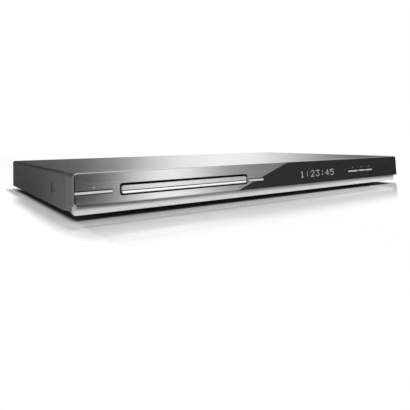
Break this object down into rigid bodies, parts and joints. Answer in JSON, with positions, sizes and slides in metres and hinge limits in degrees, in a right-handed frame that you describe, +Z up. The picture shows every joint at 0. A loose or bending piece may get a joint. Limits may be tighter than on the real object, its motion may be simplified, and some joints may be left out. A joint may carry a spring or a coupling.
{
  "type": "disc player with tray",
  "caption": "Slim full-width disc player: brushed and gloss black front split by a diagonal, loading tray, display window and bar keys.",
  "frame": {"origin": "middle of the whole box in X and Y, on the floor plane under the feet", "axes": "+X across the width, to the right as seen from the front; -Y is the front; +Z up"},
  "size_m": [0.435, 0.2496, 0.037],
  "materials": {
    "cover_paint": "brushed silver paint",
    "sheet_steel": "zinc plated sheet",
    "rear_paint": "satin black",
    "bezel_plastic": "silver painted plastic",
    "fascia_metal": "brushed along its length",
    "lens_plastic": "gloss black",
    "key_chrome": "bright",
    "foot_plastic": "black",
    "pad_rubber": "matt",
    "screw_steel": "plated",
    "black_plastic": "black",
    "jack_metal": "plated",
    "jack_plastic": "coloured by socket",
    "pin_metal": "nickel",
    "board_green": "solder mask",
    "board_tan": "plain laminate",
    "winding": "taped winding",
    "can_sleeve": "shrink sleeve",
    "heat_metal": "mill finish",
    "fuse_glass": "clear with metal caps",
    "chip_plastic": "moulded",
    "connector_plastic": "natural",
    "tube_glass": "dark tube",
    "ribbon_plastic": "flat cable",
    "loader_plastic": "black moulding",
    "tray_plastic": "dark grey moulding",
    "door_paint": "satin silver",
    "trim_chrome": "bright",
    "motor_steel": "drawn can",
    "pulley_brass": "turned",
    "belt_rubber": "matt",
    "gear_plastic": "natural acetal",
    "traverse_plastic": "filled black",
    "turntable_plastic": "black with friction ring",
    "pickup_metal": "die casting",
    "lens_glass": "coated",
    "rod_steel": "ground",
    "magnet": "plated"
  },
  "bodies": {
    "player": {"top_cover": "cover_paint", "bottom_chassis": "sheet_steel", "rear_panel": "rear_paint", "front_bezel": "bezel_plastic", "brushed_fascia": "fascia_metal", "display_lens": "lens_plastic", "feet": "foot_plastic", "foot_pads": "pad_rubber", "cover_screws": "screw_steel", "rear_screws": "screw_steel", "jack_block": "black_plastic", "jack_shells": "jack_metal", "jack_inserts": "jack_plastic", "mains_inlet": "black_plastic", "mains_pins": "pin_metal", "power_board": "board_tan", "mains_transformer": "winding", "capacitors": "can_sleeve", "heat_sink": "heat_metal", "mains_fuse": "fuse_glass", "main_board": "board_green", "decoder_chip": "chip_plastic", "memory_chips": "chip_plastic", "board_connectors": "connector_plastic", "front_board": "board_green", "power_key_board": "board_green", "display_tube": "tube_glass", "tact_switches": "chip_plastic", "front_ribbon": "ribbon_plastic", "loader_ribbon": "ribbon_plastic", "loader_frame": "loader_plastic", "loading_motor": "motor_steel", "drive_belt": "belt_rubber", "pivot_grommets": "belt_rubber", "clamp_bridge": "sheet_steel", "loader_screws": "screw_steel", "board_screws": "screw_steel"},
    "tray": {"tray": "tray_plastic", "tray_door": "door_paint", "tray_door_trim": "trim_chrome"},
    "drive_gear": {"drive_gear": "gear_plastic"},
    "pulley_gear": {"pulley_gear": "gear_plastic"},
    "motor_pulley": {"motor_pulley": "pulley_brass"},
    "cam_slider": {"cam_slider": "gear_plastic"},
    "traverse": {"traverse_frame": "traverse_plastic", "spindle_motor": "motor_steel", "guide_rods": "rod_steel", "sled_motor": "motor_steel"},
    "turntable": {"turntable": "turntable_plastic"},
    "pickup": {"pickup": "pickup_metal"},
    "lens": {"pickup_lens": "lens_glass"},
    "lead_screw": {"lead_screw": "rod_steel"},
    "clamp": {"clamp_puck": "black_plastic", "clamp_magnet": "magnet"},
    "power_key": {"power_key": "key_chrome"},
    "open_close_key": {"open_close_key": "key_chrome"},
    "key_a": {"key_a": "key_chrome"},
    "key_b": {"key_b": "key_chrome"},
    "key_c": {"key_c": "key_chrome"}
  },
  "joints": [
    {"name": "tray_slide", "type": "slide", "parent": "player", "child": "tray", "axis": [0, -1, 0], "range_m": [0, 0.138]},
    {"name": "drive_gear_spin", "type": "hinge", "parent": "player", "child": "drive_gear", "pos_m": [-0.08015, -0.09215, 0.0175], "axis": [0, 0, 1], "range_deg": [-660.9, 2]},
    {"name": "pulley_gear_spin", "type": "hinge", "parent": "player", "child": "pulley_gear", "pos_m": [-0.10095, -0.09215, 0.0175], "axis": [0, 0, 1], "range_deg": [-2, 2198.34]},
    {"name": "motor_pulley_spin", "type": "hinge", "parent": "player", "child": "motor_pulley", "pos_m": [-0.13015, -0.09615, 0.0175], "axis": [0, 0, 1], "range_deg": [-2, 6142.78]},
    {"name": "cam_slide", "type": "slide", "parent": "player", "child": "cam_slider", "axis": [-1, 0, 0], "range_m": [0, 0.016]},
    {"name": "traverse_tilt", "type": "hinge", "parent": "player", "child": "traverse", "pos_m": [-0.11415, 0.03685, 0.0155], "axis": [-1, 0, 0], "range_deg": [0, 3.91]},
    {"name": "spindle_spin", "type": "hinge", "parent": "traverse", "child": "turntable", "pos_m": [-0.11415, -0.04523, 0.01381], "axis": [0, -0.068, 0.9977], "continuous": true},
    {"name": "pickup_slide", "type": "slide", "parent": "traverse", "child": "pickup", "axis": [0, 0.9977, 0.068], "range_m": [0, 0.034]},
    {"name": "lead_screw_spin", "type": "hinge", "parent": "traverse", "child": "lead_screw", "pos_m": [-0.08115, -0.01303, 0.0121], "axis": [0, 0.9977, 0.068], "range_deg": [-2, 4082]},
    {"name": "lens_focus", "type": "slide", "parent": "pickup", "child": "lens", "axis": [0, -0.068, 0.9977], "range_m": [-0.0005, 0.0005], "stiffness_N_per_m": 60},
    {"name": "clamp_spin", "type": "hinge", "parent": "player", "child": "clamp", "pos_m": [-0.11415, -0.04515, 0.028], "axis": [0, 0, 1], "continuous": true},
    {"name": "power_key_press", "type": "slide", "parent": "player", "child": "power_key", "axis": [0, 1, 0], "range_m": [0, 0.0006], "stiffness_N_per_m": 1500},
    {"name": "open_close_key_press", "type": "slide", "parent": "player", "child": "open_close_key", "axis": [0, 1, 0], "range_m": [0, 0.0006], "stiffness_N_per_m": 1500},
    {"name": "key_a_press", "type": "slide", "parent": "player", "child": "key_a", "axis": [0, 1, 0], "range_m": [0, 0.0006], "stiffness_N_per_m": 1500},
    {"name": "key_b_press", "type": "slide", "parent": "player", "child": "key_b", "axis": [0, 1, 0], "range_m": [0, 0.0006], "stiffness_N_per_m": 1500},
    {"name": "key_c_press", "type": "slide", "parent": "player", "child": "key_c", "axis": [0, 1, 0], "range_m": [0, 0.0006], "stiffness_N_per_m": 1500}
  ],
  "couplings": [
    {"joint": "drive_gear_spin", "follows": "tray_slide", "rad_per_m": -83.333},
    {"joint": "pulley_gear_spin", "follows": "tray_slide", "rad_per_m": 277.78},
    {"joint": "motor_pulley_spin", "follows": "tray_slide", "rad_per_m": 776.64},
    {"joint": "traverse_tilt", "follows": "cam_slide", "rad_per_m": 4.2542},
    {"joint": "lead_screw_spin", "follows": "pickup_slide", "rad_per_m": 2094.4}
  ]
}
